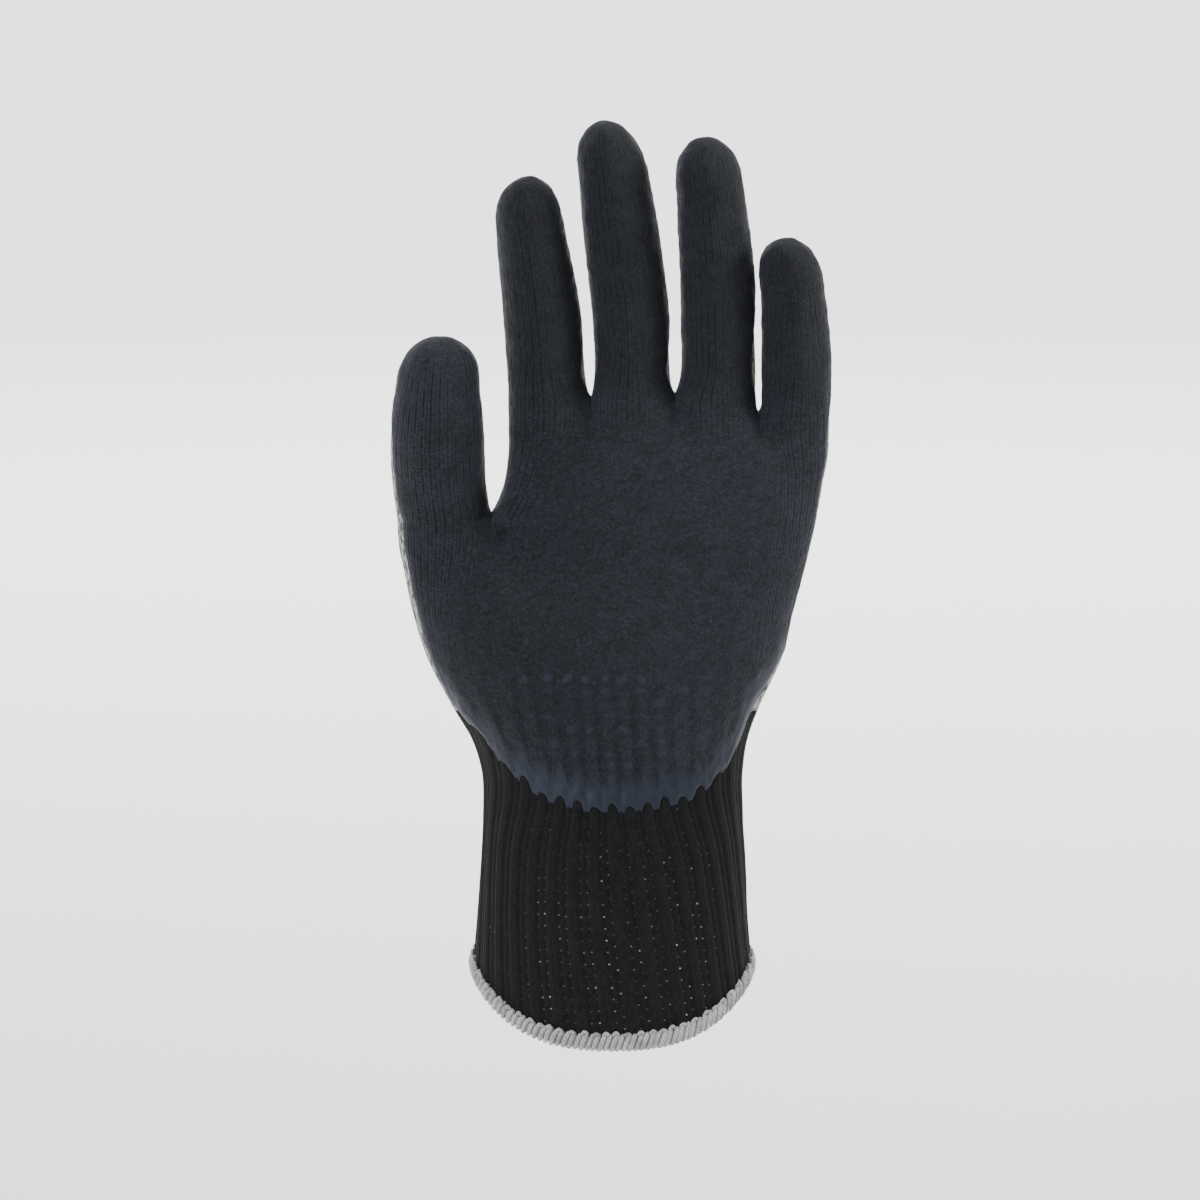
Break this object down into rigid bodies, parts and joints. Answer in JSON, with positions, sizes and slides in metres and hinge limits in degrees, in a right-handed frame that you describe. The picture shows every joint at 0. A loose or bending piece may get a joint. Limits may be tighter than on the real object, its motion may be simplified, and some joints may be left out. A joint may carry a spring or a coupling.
{
  "type": "coated knit work glove",
  "caption": "Left-hand seamless knit assembly glove with a dark foamed rubber coating on the palm, fingers and fingertips, a ribbed black cuff and a pale overlocked hem.",
  "frame": {"origin": "middle of the wrist opening, level with the lowest point of the hem", "axes": "+Z from the wrist to the fingertips, -Y out of the palm, +X from the thumb's side to the little finger's side"},
  "size_m": [0.1167, 0.0563, 0.2492],
  "materials": {
    "liner_knit": "heather knit of pale and dark yarn",
    "cuff_knit": "black rib knit with a pale elastic thread",
    "hem_thread": "pale grey overlock stitching",
    "foamed_coating": "matt foamed coating, finely wrinkled"
  },
  "bodies": {
    "root": {"knit_palm": "liner_knit", "thumb_stall": "liner_knit", "index_stall": "liner_knit", "middle_stall": "liner_knit", "ring_stall": "liner_knit", "little_stall": "liner_knit", "rib_cuff": "cuff_knit", "overlock_hem": "hem_thread", "palm_coating": "foamed_coating"}
  },
  "joints": []
}
